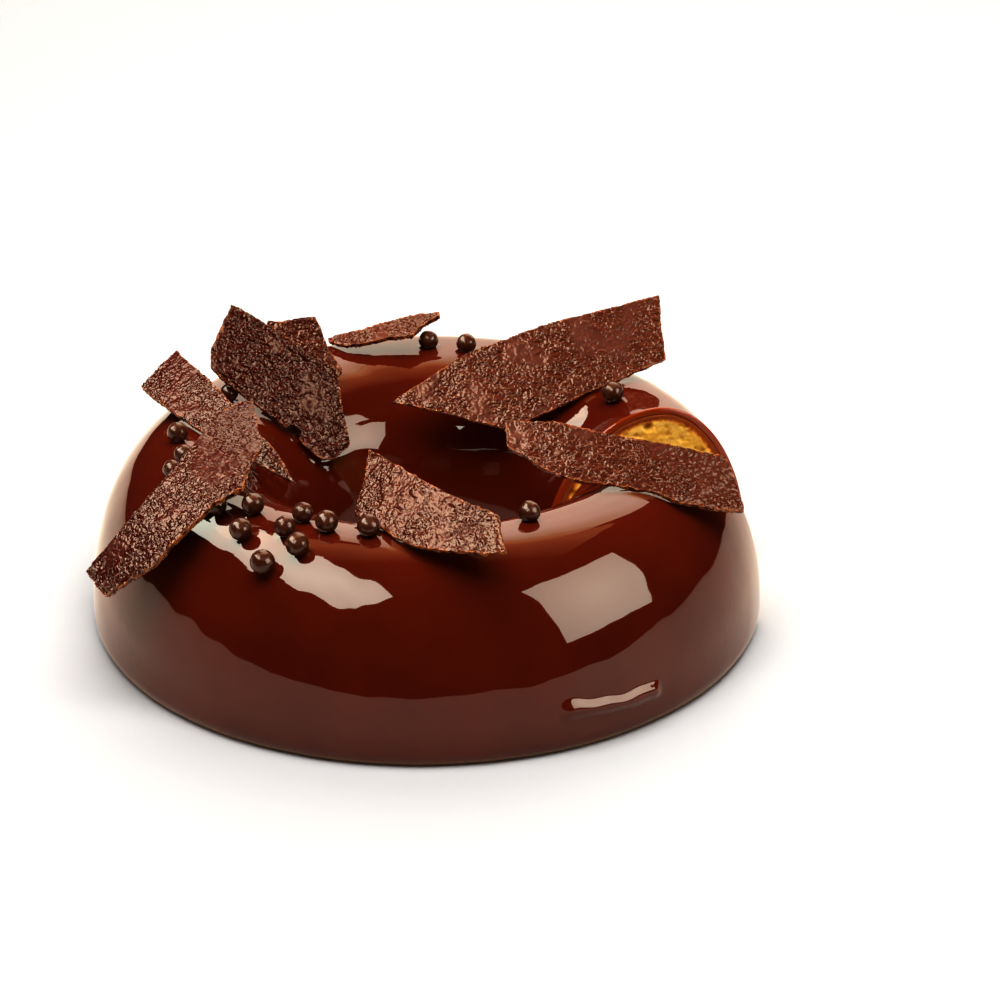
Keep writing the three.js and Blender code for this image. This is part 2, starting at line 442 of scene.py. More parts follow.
pick(glaze, lambda p: closeness(p, 2.0 * WET_REACH) > 0.0, "FACE")
bpy.ops.mesh.subdivide(number_cuts=2)
done()
group_of(glaze, "wet", lambda p: closeness(p, WET_REACH) ** 2)
wear(glaze, "DISPLACE", strength=WET_RISE, mid_level=0.0, vertex_group="wet")
print("glaze points with the toppings' rims:", len(glaze.data.vertices))

# %% [markdown]
# A run in the glaze stands out low on the front: a ridge about 25 mm long that set before it
# levelled. A tube laid on the glaze would have an edge, which a run hasn't, so the skin itself is
# raised. Two waves make its line wander. It is a little wider at both ends, and lumpy.

# %% Raise the run
RUN_START = math.radians(293.2)
RUN_END = math.radians(310.6)
RUN_Z = (11.6 * MM, 9.8 * MM)
RUN_RISE = 1.1 * MM
RUN_WAVES = ((0.25 * MM, 7.5, 0.6), (0.12 * MM, 17.0, 0.0))
RUN_HALF = 3.3 * MM
RUN_MEAN = 0.84
RUN_WIDER = 0.1
RUN_LUMP = 0.06
LUMP_RATE = 19.0
RUN_ENDS = (-0.07, 0.05, 0.95, 1.07)
RUN_MARGIN = 0.25
FINE_HALVES = 3.0
OFF_RUN = 9.0


def along_run(p):
    """How far along the run a place is, from 0 to 1, and how far off its line in half widths."""
    along = (math.atan2(p.y, p.x) % math.tau - RUN_START) / (RUN_END - RUN_START)
    wander = sum(size * math.sin(rate * along + start) for size, rate, start in RUN_WAVES)
    line_z = RUN_Z[0] + (RUN_Z[1] - RUN_Z[0]) * along + wander
    wider = RUN_WIDER * math.cos(math.tau * along)
    lump = RUN_LUMP * math.sin(LUMP_RATE * along)
    half = RUN_HALF * (RUN_MEAN + wider + lump)
    outside = math.hypot(p.x, p.y) > RING_R - GLAZE / 2
    return along, abs(p.z - line_z) / half if outside else OFF_RUN


def near_run(p):
    """Whether a place is close enough to the run to need a finer mesh."""
    along, off = along_run(p)
    return -RUN_MARGIN < along < 1.0 + RUN_MARGIN and off < FINE_HALVES


def run_rise(p):
    """Share of the run's rise at a place."""
    along, off = along_run(p)
    return within(RUN_ENDS, along) * (1.0 - off * off) ** 2 if off < 1.0 else 0.0


pick(glaze, near_run, "FACE")
bpy.ops.mesh.subdivide(number_cuts=3)
done()
group_of(glaze, "run", run_rise)
wear(glaze, "DISPLACE", strength=RUN_RISE, mid_level=0.0, vertex_group="run")
print("glaze points with the run:", len(glaze.data.vertices))

# %% [markdown]
# A poured glaze is never quite even. Two soft noises move all of it by tenths of a millimetre, and
# a third one only where it set unevenly, in the hole, on the left and a little at the back. This is
# what makes the edges of its reflections wander.

# %% Make the glaze uneven
LEFT_ARC = (-165, -145, -95, -75)
BACK_ARC = (45, 65, 130, 150)
BACK_SHARE = 0.5
HOLE_SIDE = (RIDGE_R - 5 * MM, RIDGE_R - 13 * MM)
UPPER_PART = (20 * MM, 34 * MM)


def uneven(p):
    """How unevenly the glaze set at a place."""
    around = angle_of(p)
    inner = soft_step(*HOLE_SIDE, math.hypot(p.x, p.y))
    sides = max(within(LEFT_ARC, around), inner, BACK_SHARE * within(BACK_ARC, around))
    return sides * soft_step(*UPPER_PART, p.z)


group_of(glaze, "uneven", uneven)
relief(glaze, "CLOUDS", 34 * MM, 0.35 * MM, noise_depth=0)
relief(glaze, "CLOUDS", 9 * MM, 0.1 * MM, noise_depth=0)
relief(glaze, "CLOUDS", 7 * MM, 0.25 * MM, group="uneven", noise_depth=0)

# %% [markdown]
# Light shines through the glaze where the knife cut it. Subsurface scattering could show that, but
# it is slow and can't be baked to a colour. So each point stores how near it is to a cut, and the
# material turns redder by that number.

# %% Mark where the glaze is thin
THIN_REACH = (1.2 * MM, 0.2 * MM)


def cut_distance(p):
    """Distance from the nearer of the two cut planes, which lie on the +X side only."""
    if p.x <= 0:
        return RING_R
    return min(abs(p.y * math.cos(cut) - p.x * math.sin(cut)) for cut in (CUT_NEAR, CUT_FAR))


attribute(glaze, "thin", [soft_step(*THIN_REACH, cut_distance(v.co)) for v in glaze.data.vertices])
place_on(glaze, "glaze", glaze_finish, "glaze")
for corner in (glaze.bound_box[0], glaze.bound_box[6]):
    print("corner of the glaze in mm:", [round(x / MM, 1) for x in corner])

# %% [markdown]
# ## Sponge finish
# Butter sponge is a yellow crumb full of small pores. Under the glaze it has a brown baked crust
# a few millimetres deep, which turns from orange to dark brown at the skin. It is matt. The crust
# could be a shell of its own, but it has no clear inner border. So the colour follows the depth that
# each point stores, made ragged by the grain of the crumb.

# %% Butter sponge
sponge_finish, tree, shader = finish("butter_sponge_crumb", Roughness=0.9, Specular_IOR_Level=0.2)
place = add(tree, "TexCoord").outputs["Object"]
crust = add(tree, "Attribute", attribute_name="crust").outputs["Fac"]
pore = add(tree, "Attribute", attribute_name="pore").outputs["Fac"]
CRUMB_PATCH = 5 * MM
CRUMB_GRAIN = 0.8 * MM
patch = add(tree, "TexNoise", {"Vector": place}, {"Scale": 1 / CRUMB_PATCH, "Detail": 3.0})
grain = add(tree, "TexNoise", {"Vector": place}, {"Scale": 1 / CRUMB_GRAIN, "Detail": 2.0})
yellow = add(
    tree, "ValToRGB", {"Fac": patch.outputs["Fac"]}, stops=((0.3, "#e3ba50"), (0.7, "#f0d074"))
)
shade = add(
    tree, "ValToRGB", {"Fac": grain.outputs["Fac"]}, stops=((0.3, "#e6bc60"), (0.65, "#ffffff"))
)
crumb = add(
    tree,
    "MixRGB",
    {"Color1": yellow.outputs["Color"], "Color2": shade.outputs["Color"]},
    {"Fac": 0.4},
    blend_type="MULTIPLY",
)
# Painted shade: the pores are darker by how deep each point sank.
painted_pore_shade = add(
    tree, "MixRGB", {"Fac": pore, "Color1": crumb.outputs["Color"]}, {"Color2": paint("#cfa04a")}
)
ragged = add(tree, "Math", {0: grain.outputs["Fac"]}, {1: 0.5}, operation="MULTIPLY_ADD")
tree.links.new(crust, ragged.inputs[2])
browned = add(
    tree,
    "ValToRGB",
    {"Fac": ragged.outputs[0]},
    stops=((0.5, "#f0ca64"), (0.72, "#e0a03c"), (0.92, "#bf6c22"), (1.0, "#964c18")),
)
share = add(tree, "MapRange", {"Value": ragged.outputs[0]}, {"From Min": 0.4, "From Max": 0.75})
whole = add(
    tree,
    "MixRGB",
    {
        "Fac": share.outputs["Result"],
        "Color1": painted_pore_shade.outputs["Color"],
        "Color2": browned.outputs["Color"],
    },
)
tree.links.new(whole.outputs["Color"], shader.inputs["Base Color"])
bump = add(tree, "Bump", {"Height": grain.outputs["Fac"]}, {"Strength": 0.5, "Distance": 0.3 * MM})
tree.links.new(bump.outputs["Normal"], shader.inputs["Normal"])

# %% [markdown]
# ## Sponge
# The sponge fills the glaze and shows only at the two cut faces. The same section is closed by a face
# and spun to a solid. It reaches a little way into the glaze, so that no line of light shows between
# them.

# %% Spin the sponge
SPONGE_POINTS = 96
SPONGE_STEPS = 64
SKIN_OVERLAP = 0.05 * MM
sponge = section("sponge_crumb", SPONGE_POINTS, GLAZE - SKIN_OVERLAP)
pick(sponge, lambda p: True)
bpy.ops.mesh.edge_face_add()
done()
sweep(sponge, SPONGE_STEPS)
print("sponge faces after the spin:", len(sponge.data.polygons))

# %% [markdown]
# Only the cut faces need a fine mesh for their pores. Subdividing would give cells of uneven size, as
# each cut face is one face with many corners. So all else is hidden, and rows of planes bisect the
# two faces into cells of 0.4 mm.

# %% Cut the end faces into cells
CRUMB_CELL = 0.4 * MM
for cut in (CUT_FAR, CUT_NEAR):
    outward = Vector((math.cos(cut), math.sin(cut), 0.0))
    side = Vector((-math.sin(cut), math.cos(cut), 0.0))
    pick(sponge, lambda p: p.x > 0 and abs(p.dot(side)) < TINY, "FACE")
    bpy.ops.mesh.hide(unselected=True)
    for normal, low, high in ((outward, HOLE_R, RING_R), (Vector((0, 0, 1)), 0.0, TOP_Z)):
        for number in range(1, int((high - low) / CRUMB_CELL)):
            bpy.ops.mesh.select_all(action="SELECT")
            bpy.ops.mesh.bisect(plane_co=normal * (low + number * CRUMB_CELL), plane_no=normal)
    bpy.ops.mesh.reveal(select=False)
    done()
print("sponge faces with its cells:", len(sponge.data.polygons))

# %% [markdown]
# A knife leaves a crumb face wavy and full of open pores. Pores could be cut out one by one, but noise
# sinks hundreds at once: it makes the faces wavy, sinks pores of two sizes and roughens them. A vertex
# group keeps the pores out of the baked crust. How deep each point sank, and how near the crust it
# is, are stored for the material, which darkens the pores by their depth as painted shade.

# %% Sink the pores
PORE_FREE = (0.5 * MM, 2.0 * MM)
PORE_DEPTH = (0.4 * MM, 1.6 * MM)
CRUST = 3.4 * MM
BASE_CRUST = 0.6 * MM
FLAT_LEVEL = 0.05


def crust_depth(p):
    """About how far a place lies under the sponge's outside."""
    radius = math.hypot(p.x, p.y)
    wide = half_width(radius) - GLAZE
    tall = TOP_Z - WALL_Z - GLAZE
    across = (radius - RIDGE_R) / wide
    up = max(0.0, p.z - WALL_Z) / tall
    level = math.hypot(across, up)
    slope = math.hypot(across / wide, up / tall) / max(level, FLAT_LEVEL)
    return min((1.0 - level) / max(slope, 1.0), p.z + BASE_CRUST)


before = [v.co.copy() for v in sponge.data.vertices]
crumbs = sponge.vertex_groups.new(name="crumb")
for point in sponge.data.vertices:
    if cut_distance(point.co) < TINY:
        crumbs.add([point.index], soft_step(*PORE_FREE, crust_depth(point.co)), "REPLACE")
relief(sponge, "CLOUDS", 8 * MM, 1.2 * MM, group="crumb")
for size, depth, stops in (
    (6.5 * MM, 1.5 * MM, ((0.06, 0.0), (0.24, 1.0))),
    (2.3 * MM, 0.9 * MM, ((0.12, 0.0), (0.42, 1.0))),
):
    relief(sponge, "VORONOI", size, depth, 1.0, stops, "crumb", noise_intensity=1.0)
relief(sponge, "CLOUDS", 0.9 * MM, 0.5 * MM, group="crumb")
sunk = [(old - v.co).length for old, v in zip(before, sponge.data.vertices)]
attribute(sponge, "pore", [soft_step(*PORE_DEPTH, depth) for depth in sunk])
attribute(sponge, "crust", [1.0 - soft_step(0.0, CRUST, crust_depth(p)) for p in before])
place_on(sponge, "sponge", sponge_finish, "sponge")
print("deepest pore in mm:", round(max(sunk) / MM, 2))

# %% [markdown]
# ## Fruit finish
# The dice are poached apple: pale cream-yellow, wet and a little glassy, with faint fibres. Light
# that scatters inside would be the true way to make them, but it can't be baked to a colour, so a
# pale base and a low gloss stand in for it. The fibres are a noise that is stretched upward.

# %% Poached apple
fruit_finish, tree, shader = finish("poached_apple", Roughness=0.35, IOR=1.36)
place = add(tree, "TexCoord").outputs["Object"]
FRUIT_FIBRE = 2.0 * MM
stretched = add(tree, "Mapping", {"Vector": place}, {"Scale": (1.0, 1.0, 0.35)})
fibre = add(
    tree,
    "TexNoise",
    {"Vector": stretched.outputs["Vector"]},
    {"Scale": 1 / FRUIT_FIBRE, "Detail": 3.0},
)
flesh = add(
    tree, "ValToRGB", {"Fac": fibre.outputs["Fac"]}, stops=((0.3, "#ecd394"), (0.7, "#f8ebc4"))
)
tree.links.new(flesh.outputs["Color"], shader.inputs["Base Color"])
bump = add(tree, "Bump", {"Height": fibre.outputs["Fac"]}, {"Strength": 0.25, "Distance": 0.3 * MM})
tree.links.new(bump.outputs["Normal"], shader.inputs["Normal"])

# %% [markdown]
# ## Fruit
# Each die is a copy of its CAD prism, which gives its place and size. A bevelled box alone would look
# moulded, so a voxel remesh then gives it an even fine mesh, and a low noise makes its faces slightly
# uneven, as soft fruit is. It swells a little, to fill its pocket in the crumb.


# %% Soften the dice
def copy_of(node, name):
    """A copy of a CAD node as a piece of its own, with its loose triangles merged."""
    piece = bpy.data.objects.new(name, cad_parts[node].data.copy())
    bpy.context.scene.collection.objects.link(piece)
    pick(piece, lambda p: True)
    bpy.ops.mesh.remove_doubles(threshold=TINY)
    done()
    return piece


FRUIT_COUNT = 7
FRUIT_CORNER = 0.7 * MM
FRUIT_CELL = 0.4 * MM
FRUIT_SWELL = 0.35 * MM
for number in range(1, FRUIT_COUNT + 1):
    die = copy_of(f"fruit_{number}", f"apple_die_{number}")
    wear(die, "BEVEL", width=FRUIT_CORNER, segments=3)
    wear(die, "REMESH", mode="VOXEL", voxel_size=FRUIT_CELL)
    wear(die, "SMOOTH", factor=0.5, iterations=4)
    wear(die, "DISPLACE", strength=FRUIT_SWELL, mid_level=0.0)
    relief(die, "CLOUDS", 3.0 * MM, 0.5 * MM)
    place_on(die, "fruit", fruit_finish, f"fruit_{number}")
print("dice made:", FRUIT_COUNT)

# %% [markdown]
# ## Shard finish
# The shards are a thin brittle of sugar, butter and cocoa, baked until it bubbles. Its surface is
# a dense crinkle of glossy little blisters over dark brown. The pits between the blisters are redder,
# as light goes through the sugar there, and at a broken edge an orange colour is painted light, for
# the light that goes through the thin sugar. Where the sugar was blown up most, the bumps are
# stronger and glossier. Three numbers stored on the points steer this: how near the broken edge is,
# how much painted shade the shard gets, and how much it was blown up. A picture could show the
# crinkle too, but cells from a Voronoi texture stay sharp close up.

# %% Cocoa brittle
brittle_finish, tree, shader = finish("cocoa_brittle", IOR=1.46, Specular_Tint=paint("#fff0e4"))
place = add(tree, "TexCoord").outputs["Object"]
rim = add(tree, "Attribute", attribute_name="rim").outputs["Fac"]
BRITTLE_PATCH = 6 * MM
BRITTLE_NICK = 1.5 * MM
BRITTLE_BLISTER = 1.0 * MM
BLISTER_WANDER = 0.8 * MM
patch = add(tree, "TexNoise", {"Vector": place}, {"Scale": 1 / BRITTLE_PATCH, "Detail": 3.0})
nick = add(tree, "TexNoise", {"Vector": place}, {"Scale": 1 / BRITTLE_NICK, "Detail": 1.0})
moved = add(
    tree,
    "VectorMath",
    {0: nick.outputs["Color"], 2: place},
    {1: (BLISTER_WANDER, BLISTER_WANDER, BLISTER_WANDER)},
    operation="MULTIPLY_ADD",
)
blister = add(
    tree,
    "TexVoronoi",
    {"Vector": moved.outputs["Vector"]},
    {"Scale": 1 / BRITTLE_BLISTER, "Smoothness": 0.3},
    feature="SMOOTH_F1",
)
cocoa = add(
    tree, "ValToRGB", {"Fac": patch.outputs["Fac"]}, stops=((0.35, "#562611"), (0.7, "#68331d"))
)
torn = add(tree, "MapRange", {"Value": nick.outputs["Fac"]}, {"From Min": 0.4, "From Max": 0.6})
broken = add(tree, "Math", {0: rim, 1: torn.outputs["Result"]}, operation="MULTIPLY")
# Painted shade: each shard's cocoa colour is darkened by its own share.
shard_shade = add(tree, "Attribute", attribute_name="shard_shade").outputs["Fac"]
deep = add(
    tree, "MixRGB", {"Fac": shard_shade, "Color1": cocoa.outputs["Color"]}, {"Color2": paint("#461204")}
)
pit = add(
    tree,
    "MapRange",
    {"Value": blister.outputs["Distance"]},
    {"From Min": 0.3, "From Max": 0.7, "To Max": 0.35},
)
glassy = add(
    tree,
    "MixRGB",
    {"Fac": pit.outputs["Result"], "Color1": deep.outputs["Color"]},
    {"Color2": paint("#621705")},
)
# Painted light: the broken edge is coloured orange, for light that goes through the thin sugar.
orange = add(
    tree,
    "MixRGB",
    {"Fac": broken.outputs[0], "Color1": glassy.outputs["Color"]},
    {"Color2": paint("#b0652f")},
)
tree.links.new(orange.outputs["Color"], shader.inputs["Base Color"])
blown = add(tree, "Attribute", attribute_name="blown").outputs["Fac"]
swell = add(tree, "MapRange", {"Value": blown}, {"To Min": 0.2, "To Max": 0.55})
gloss = add(tree, "MapRange", {"Value": blown}, {"To Min": 0.38, "To Max": 0.15})
tree.links.new(gloss.outputs["Result"], shader.inputs["Roughness"])
bump = add(
    tree,
    "Bump",
    {"Height": blister.outputs["Distance"], "Strength": swell.outputs["Result"]},
    {"Distance": 0.5 * MM},
    invert=True,
)
tree.links.new(bump.outputs["Normal"], shader.inputs["Normal"])

# %% [markdown]
# ## Shards
# A shard has its outline and bend from the CAD, so a copy of its node is the start. Its broken edge
# could be told by the direction of its faces, but the sheets are bent and lie all ways. So rays are
# sent inward: where one runs far before it leaves the sheet, it started at the edge. A slow noise
# says where the sugar flowed smooth and where it was blown up.

# %% Find the broken edge and the smooth places
EDGE_REACH = 2.2 * MM
FLOW_PATCH = 9 * MM
FLOW_LIMITS = (-0.4, 0.05)
SMOOTH_SHARE = 0.3


def broken_edge(piece):
    """The narrow faces round a sheet, to measure distances from."""
    points = [point.co.copy() for point in piece.data.vertices]
    sheet = BVHTree.FromPolygons(points, [face.vertices[:] for face in piece.data.polygons])
    narrow = []
    for face in piece.data.polygons:
        reach = sheet.ray_cast(face.center - face.normal * TINY, -face.normal)[3] or 0.0
        if reach > EDGE_REACH:
            narrow.append(face.vertices[:])
    return BVHTree.FromPolygons(points, narrow)


def lively(p):
    """How strongly the sheet crinkles at a place."""
    blown_up = soft_step(*FLOW_LIMITS, noise.noise(p / FLOW_PATCH))
    return SMOOTH_SHARE + (1.0 - SMOOTH_SHARE) * blown_up


# %% [markdown]
# The third shard broke with a small bite out of its lower edge. A rough ball is modelled there, and
# a Boolean cuts it out.

# %% Model the bite
NOTCHED = 3
NOTCH_AT = Vector((-37.4, 18.6, 40.4)) * MM
NOTCH_R = 2.4 * MM
bpy.ops.object.select_all(action="DESELECT")
bpy.ops.mesh.primitive_ico_sphere_add(subdivisions=4, radius=NOTCH_R, location=NOTCH_AT)
bite = bpy.context.object
bite.name = "bite"
relief(bite, "CLOUDS", 1.5 * MM, 1.6 * MM)
print("bite points:", len(bite.data.vertices))

# %% [markdown]
# A voxel remesh gives each shard an even fine mesh. Noise then frays its outline and raises its
# crinkles, less so where the sugar flowed smooth. A bump alone would leave clean straight edges.
# The first shard is about 2 mm too wide on its left side in the CAD, so a plane trims it there first.
# Each shard is darkened by a share of its own, as painted shade. Two shards are left out of the mirror
# images in the glaze, where they would hide the highlights.

# %% Crinkle the shards
SHARD_COUNT = 8
TRIMMED = 1
TRIM_AT = Vector((-65.5, -48.4, 55.8)) * MM
TRIM_WAY = (-0.756, 0.185, 0.628)
UNMIRRORED = (1, 7)
# Each shard's share of painted shade.
SHARD_SHADE = {1: 0.9, 2: 1.0, 3: 0.9, 4: 0.4, 7: 0.3, 8: 0.3}
SHARD_CELL = 0.25 * MM
SHARD_THIN = 0.22 * MM
RIM_WIDTH = (0.8 * MM, 0.1 * MM)
for number in range(1, SHARD_COUNT + 1):
    shard = copy_of(f"shard_{number}", f"brittle_shard_{number}")
    if number == TRIMMED:
        pick(shard, lambda p: True)
        bpy.ops.mesh.bisect(plane_co=TRIM_AT, plane_no=TRIM_WAY, clear_outer=True, use_fill=True)
        done()
    edge = broken_edge(shard)
    if number == NOTCHED:
        wear(shard, "BOOLEAN", operation="DIFFERENCE", object=bite, solver="EXACT")
    wear(shard, "REMESH", mode="VOXEL", voxel_size=SHARD_CELL)
    near = [edge.find_nearest(point.co)[3] for point in shard.data.vertices]
    attribute(shard, "rim", [soft_step(*RIM_WIDTH, far) for far in near])
    group_of(shard, "lively", lively)
    attribute(shard, "blown", [lively(point.co) for point in shard.data.vertices])
    attribute(shard, "shard_shade", [SHARD_SHADE.get(number, 0.0)] * len(shard.data.vertices))
    wear(shard, "DISPLACE", strength=-SHARD_THIN, mid_level=0.0)
    relief(shard, "CLOUDS", 2.2 * MM, 0.7 * MM, direction="RGB_TO_XYZ", cloud_type="COLOR")
    relief(shard, "CLOUDS", 6.0 * MM, 0.5 * MM)
    relief(
        shard,
        "DISTORTED_NOISE",
        1.2 * MM,
        0.3 * MM,
        0.0,
        group="lively",
        distortion=2.0,
        noise_basis="IMPROVED_PERLIN",
        noise_distortion="IMPROVED_PERLIN",
    )
    place_on(shard, "brittle", brittle_finish, f"shard_{number}")
    shard.visible_glossy = number not in UNMIRRORED
    print(shard.name, "points:", len(shard.data.vertices))
bpy.data.objects.remove(bite)

# %% [markdown]
# ## Pearl finish
# The pearls are puffed cereal rolled in dark chocolate and polished in a drum: a satin coat with
# a soft highlight and small dents. Colour, gloss and dents could have a texture each, but a dent is
# also where the coat is rubbed less, so one noise gives all three.

# %% Dark chocolate coat
pearl_finish, tree, shader = finish("drum_polished_chocolate", IOR=1.45)
place = add(tree, "TexCoord").outputs["Object"]
PEARL_DENT = 1.1 * MM
dent = add(tree, "TexNoise", {"Vector": place}, {"Scale": 1 / PEARL_DENT, "Detail": 2.0})
coat = add(
    tree, "ValToRGB", {"Fac": dent.outputs["Fac"]}, stops=((0.3, "#4b2614"), (0.7, "#5b301c"))
)
tree.links.new(coat.outputs["Color"], shader.inputs["Base Color"])
satin = add(tree, "MapRange", {"Value": dent.outputs["Fac"]}, {"To Min": 0.14, "To Max": 0.28})
tree.links.new(satin.outputs["Result"], shader.inputs["Roughness"])
bump = add(tree, "Bump", {"Height": dent.outputs["Fac"]}, {"Strength": 0.4, "Distance": 0.2 * MM})
tree.links.new(bump.outputs["Normal"], shader.inputs["Normal"])

# %% [markdown]
# ## Pearls
# The pearls are all of one make, so one of them is modelled at the origin, with a radius of 1. A plain
# ball would look like a bead. It is an icosphere, whose points are spread evenly, and two noises dent
# it.

# %% Model one pearl
bpy.ops.object.select_all(action="DESELECT")
bpy.ops.mesh.primitive_ico_sphere_add(subdivisions=5, radius=1.0)
model = bpy.context.object
model.name = "pearl_model"
for size, depth in ((0.9, 0.12), (0.35, 0.03)):
    relief(model, "CLOUDS", size, depth)
print("pearl points:", len(model.data.vertices))

# %% [markdown]
# The pearl is copied to every CAD pearl's place and size. Each copy is turned another way, so that no
# two show the same dents, and pressed into the glaze until it touches. The diagonal of a ball's box
# is as long as the square root of 12 times its radius.

# %% Copy it to every place
PEARL_COUNT = 17
SEAT = 0.45 * MM
BALL_DIAGONAL = math.sqrt(12)
TURNS = (2.4, 1.7, 0.9)
for number in range(1, PEARL_COUNT + 1):
    low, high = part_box(f"pearl_{number}")
    middle = (low + high) / 2
    radius = (high - low).length / BALL_DIAGONAL
    pearl = bpy.data.objects.new(f"chocolate_pearl_{number}", model.data.copy())
    bpy.context.scene.collection.objects.link(pearl)
    turned = Euler([turn * number for turn in TURNS]).to_matrix().to_4x4()
    seat = middle - skin_normal(middle) * SEAT
    pearl.data.transform(Matrix.Translation(seat) @ Matrix.Scale(radius, 4) @ turned)
    place_on(pearl, "pearl", pearl_finish, f"pearl_{number}")
bpy.data.objects.remove(model)
print("pearls made:", PEARL_COUNT)

# %% [markdown]
# ## Floor
# The cake stands on a plain white board. The board ends a short way in front of the cake: the
# dark room beyond its edge is what the middle of the glaze reflects. A white board in full studio
# light is bright in a mirror, so the board glows as painted light, strongly for mirrored rays and
# faintly for the camera, and less in a painted shade at the foot.

# %% White board
BOARD_GLOW = {"To Min": 0.06, "To Max": 0.95}
FOOT_SHADE = {"From Min": RING_R, "From Max": RING_R + 22 * MM, "To Min": 0.35}
board_finish, tree, shader = finish(
    "white_laminate",
    Roughness=0.5,
    Specular_IOR_Level=0.03,
    Base_Color=paint("#bababa"),
    Emission_Color=paint("#ffddaa"),
)
mirrored = add(tree, "LightPath").outputs["Is Glossy Ray"]
glow = add(tree, "MapRange", {"Value": mirrored}, BOARD_GLOW).outputs["Result"]
place = add(tree, "TexCoord").outputs["Object"]
away = add(tree, "VectorMath", {0: place}, operation="LENGTH").outputs["Value"]
clear = add(tree, "MapRange", {"Value": away}, FOOT_SHADE).outputs["Result"]
lit = add(tree, "Math", {0: glow, 1: clear}, operation="MULTIPLY")
tree.links.new(lit.outputs[0], shader.inputs["Emission Strength"])
FLOOR_FRONT = -0.24
FLOOR_BACK = 1.6
FLOOR_SIDE = 1.3
bpy.ops.object.select_all(action="DESELECT")
bpy.ops.mesh.primitive_plane_add(size=1.0)
floor = bpy.context.object
floor.name = "board"
floor.data.transform(
    Matrix.Translation((0, (FLOOR_FRONT + FLOOR_BACK) / 2, 0))
    @ Matrix.Diagonal((2 * FLOOR_SIDE, FLOOR_BACK - FLOOR_FRONT, 1, 1))
)
floor.data.materials.append(board_finish)
floor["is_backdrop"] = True
print("board in metres:", [round(side, 2) for side in floor.dimensions])

# %% [markdown]
# ## Light
# Two softboxes light the cake: a long one up on the left and a square one low on the right, with a
# pale wall and a ceiling behind. Their places were worked out from the highlights, since a highlight
# lies where the glaze mirrors a lamp to the camera. A lamp is either mirrored by the gloss or lights
# the colours. With the two apart, the highlights and the board can each have their own strength.
# A softbox is dimmer at its rim, and the wall and the ceiling fade from one side to the other. Each
# box is its place, the point that it is turned to and its size, in metres.

# %% Make a softbox
BOX_MIDDLE = (0.5, 0.5, 0)
RIM_LIMITS = {"From Min": 0.1, "From Max": 0.7, "To Min": 1.0}


def softbox(name, place, aim, size, radiance, colour, mirrored, roll=0.0, rim=1.0, fade=()):
    """A lamp turned to a point, which is either only mirrored or only gives light."""
    lamp = bpy.data.lights.new(name, "AREA")
    lamp.shape = "RECTANGLE"
    lamp.size, lamp.size_y = size
    lamp.energy = radiance * math.pi * size[0] * size[1]
    lamp.color = paint(colour)[:3]
    lamp.use_nodes = True
    tree = lamp.node_tree
    spot = add(tree, "NewGeometry").outputs["Parametric"]
    off = add(tree, "VectorMath", {0: spot}, {1: BOX_MIDDLE}, operation="DISTANCE")
    fall = add(tree, "MapRange", {"Value": off.outputs["Value"]}, {**RIM_LIMITS, "To Max": rim})
    tree.links.new(fall.outputs["Result"], tree.nodes["Emission"].inputs["Strength"])
    if fade:
        up = add(tree, "SeparateXYZ", {0: spot}).outputs["Y"]
        tint = add(tree, "ValToRGB", {"Fac": up}, stops=fade)
        tree.links.new(tint.outputs["Color"], tree.nodes["Emission"].inputs["Color"])
    made = bpy.data.objects.new(name, lamp)
    bpy.context.scene.collection.objects.link(made)
    made.location = place
    turn = (Vector(aim) - Vector(place)).to_track_quat("-Z", "Y")
    made.rotation_euler = (turn @ Quaternion((0, 0, 1), math.radians(roll))).to_euler()
    made.visible_camera = False
    made.visible_diffuse = not mirrored
    made.visible_glossy = mirrored
    print("lamp:", name)


# %% [markdown]
# The lamps called mirrored make the highlights, and those called light give the colours their light.
# The long box on the left is turned by 29 degrees, as its highlight runs down the ring aslant.

# %% Place the lamps
LEFT_TURN = 29
RIGHT_BOX = ((0.72, -0.38, 0.42), (0, 0, 0.03), (0.58, 0.58))
LEFT_BOX = ((-0.498, -0.409, 0.82), (0.088, -0.607, 0.036), (1.59, 0.42))
BACK_WALL = ((0.42, 1.4, 1.8), (0.42, 0, 1.8), (1.6, 3.6))
CEILING = ((-0.5, 0.65, 3.0), (-0.5, 0.65, 0), (4.6, 1.9))
CEILING_FADE = ((0.0, "#000000"), (0.7, "#ffffff"))
WALL_FADE = (
    (0.03, "#a0a0a0"),
    (0.25, "#e1e1e1"),
    (0.4, "#ffffff"),
    (0.66, "#f6ead2"),
    (0.78, "#a0957c"),
    (1.0, "#6c614b"),
)
softbox("right_mirrored", *RIGHT_BOX, 11.8, "#fffbe7", True, rim=0.75)
softbox("left_mirrored", *LEFT_BOX, 16.0, "#fffeec", True, roll=LEFT_TURN, rim=0.75)
softbox("back_mirrored", *BACK_WALL, 5.8, "#fff1dc", True, fade=WALL_FADE)
softbox("ceiling_mirrored", *CEILING, 2.8, "#ffbc81", True, fade=CEILING_FADE)
softbox("top_light", (0, -0.38, 1.5), (0, 0, 0), (1.8, 1.2), 7.2, "#ffffff", False)
softbox("right_light", (0.76, -0.4, 0.44), (0, 0, 0.03), (0.72, 0.72), 0.35, "#fffaf2", False)
softbox("left_light", (-1.0, -0.3, 0.5), (0, 0, 0.03), (0.8, 0.8), 0.35, "#fffaf2", False)
softbox("front_light", (-0.2, -1.3, 0.7), (0, 0, 0.03), (1.4, 0.8), 0.1, "#fffaf2", False)
softbox("back_light", (0.1, 1.2, 1.3), (0, 0, 0), (2.4, 1.6), 2.6, "#ffffff", False)

# %% [markdown]
# The gap is narrow, and each cut face lights the other one yellow. Bounced light alone leaves both a
# little dull, so two weak lamps about the size of a face add to it.

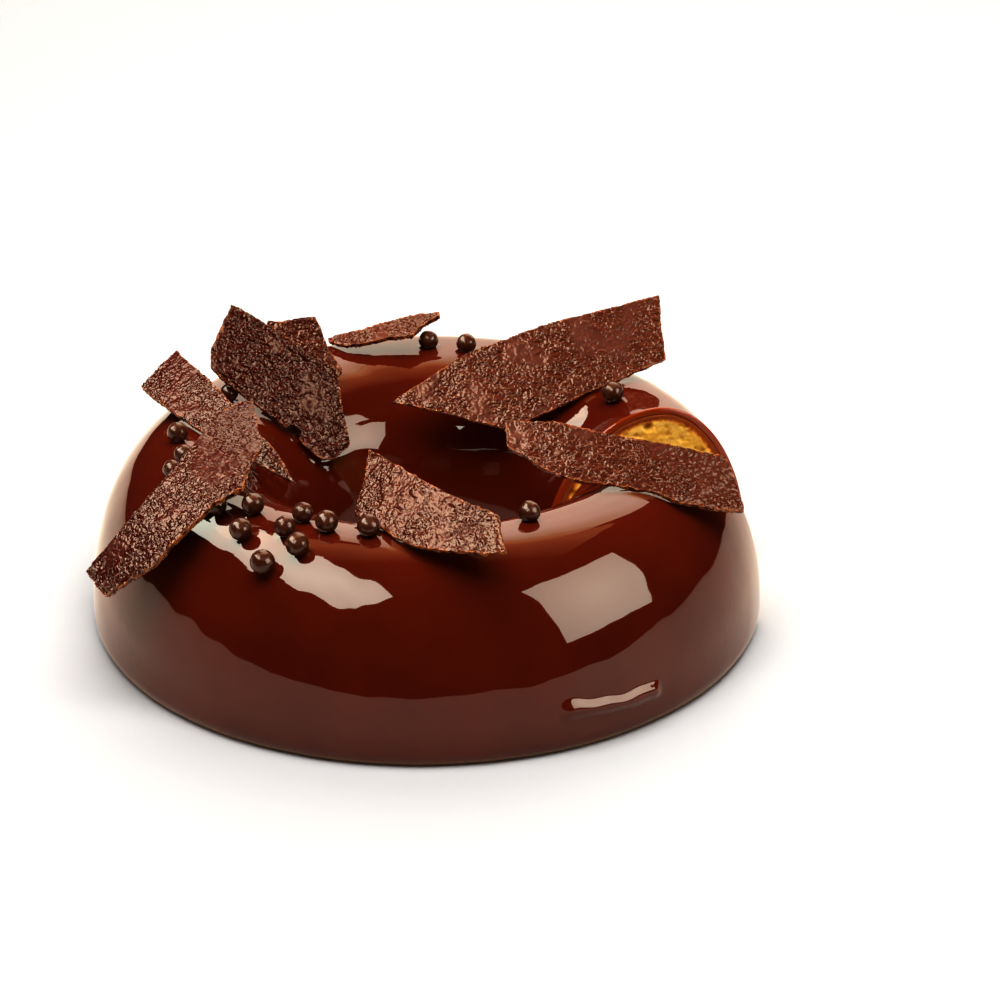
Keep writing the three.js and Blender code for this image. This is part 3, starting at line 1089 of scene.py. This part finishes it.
# %% Light between the cut faces
GAP_CARD = (0.055, 0.042)
GAP_MIDDLE = Vector((0.066, 0, 0.03))
GAP_INSET = 0.85
GAP_GLOW = 0.12
for name, cut, other in (
    ("far_face_light", CUT_NEAR, CUT_FAR),
    ("near_face_light", CUT_FAR, CUT_NEAR),
):
    start = Matrix.Rotation(cut * GAP_INSET, 3, "Z") @ GAP_MIDDLE
    end = Matrix.Rotation(other, 3, "Z") @ GAP_MIDDLE
    softbox(name, start, end, GAP_CARD, GAP_GLOW, "#ffd080", False)

# %% [markdown]
# ## Room
# The room is dark, so that the glaze stays dark where it mirrors no lamp. For the camera itself the
# background is white, as in a product picture. Such pictures are also graded to a strong contrast,
# which the view's gamma gives: dark chocolate goes deep and red, and highlights stay neutral.

# %% Dark room, white backdrop
ROOM_GLOW = 0.03
room = bpy.data.worlds.new("studio")
bpy.context.scene.world = room
room.use_nodes = True
tree = room.node_tree
tree.nodes.clear()
seen = add(tree, "LightPath").outputs["Is Camera Ray"]
dark = add(tree, "Background", (), {"Color": (1, 1, 1, 1), "Strength": ROOM_GLOW})
white = add(tree, "Background", (), {"Color": (1, 1, 1, 1), "Strength": 1.0})
mixed = add(tree, "MixShader", {0: seen, 1: dark.outputs[0], 2: white.outputs[0]})
add(tree, "OutputWorld", {"Surface": mixed.outputs[0]})
CONTRAST = 1.5
view = bpy.context.scene.view_settings
view.view_transform = "Standard"
view.gamma = 1 / CONTRAST

# %% [markdown]
# ## Camera
# The camera was fitted to the outline of the ring, and looks down at it by about 25 degrees. A Track
# To constraint could aim it, but the fit gave an angle and no point to aim at, so the angle is set.

# %% Camera
CAMERA_AT = (0.0194, -0.6394, 0.3321)
CAMERA_TILT = 64.673
CAMERA_LENS = 95.2
CAMERA_SENSOR = 36
camera = bpy.data.objects.new("camera", bpy.data.cameras.new("camera"))
bpy.context.scene.collection.objects.link(camera)
camera.data.lens = CAMERA_LENS
camera.data.sensor_width = CAMERA_SENSOR
camera.location = CAMERA_AT
camera.rotation_euler = (math.radians(CAMERA_TILT), 0, 0)
bpy.context.scene.camera = camera
print("camera looks down by degrees:", round(90 - CAMERA_TILT, 1))

# %% Measure the visual box
low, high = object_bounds()
print("visual box in mm:", [round(side / MM, 1) for side in high - low])
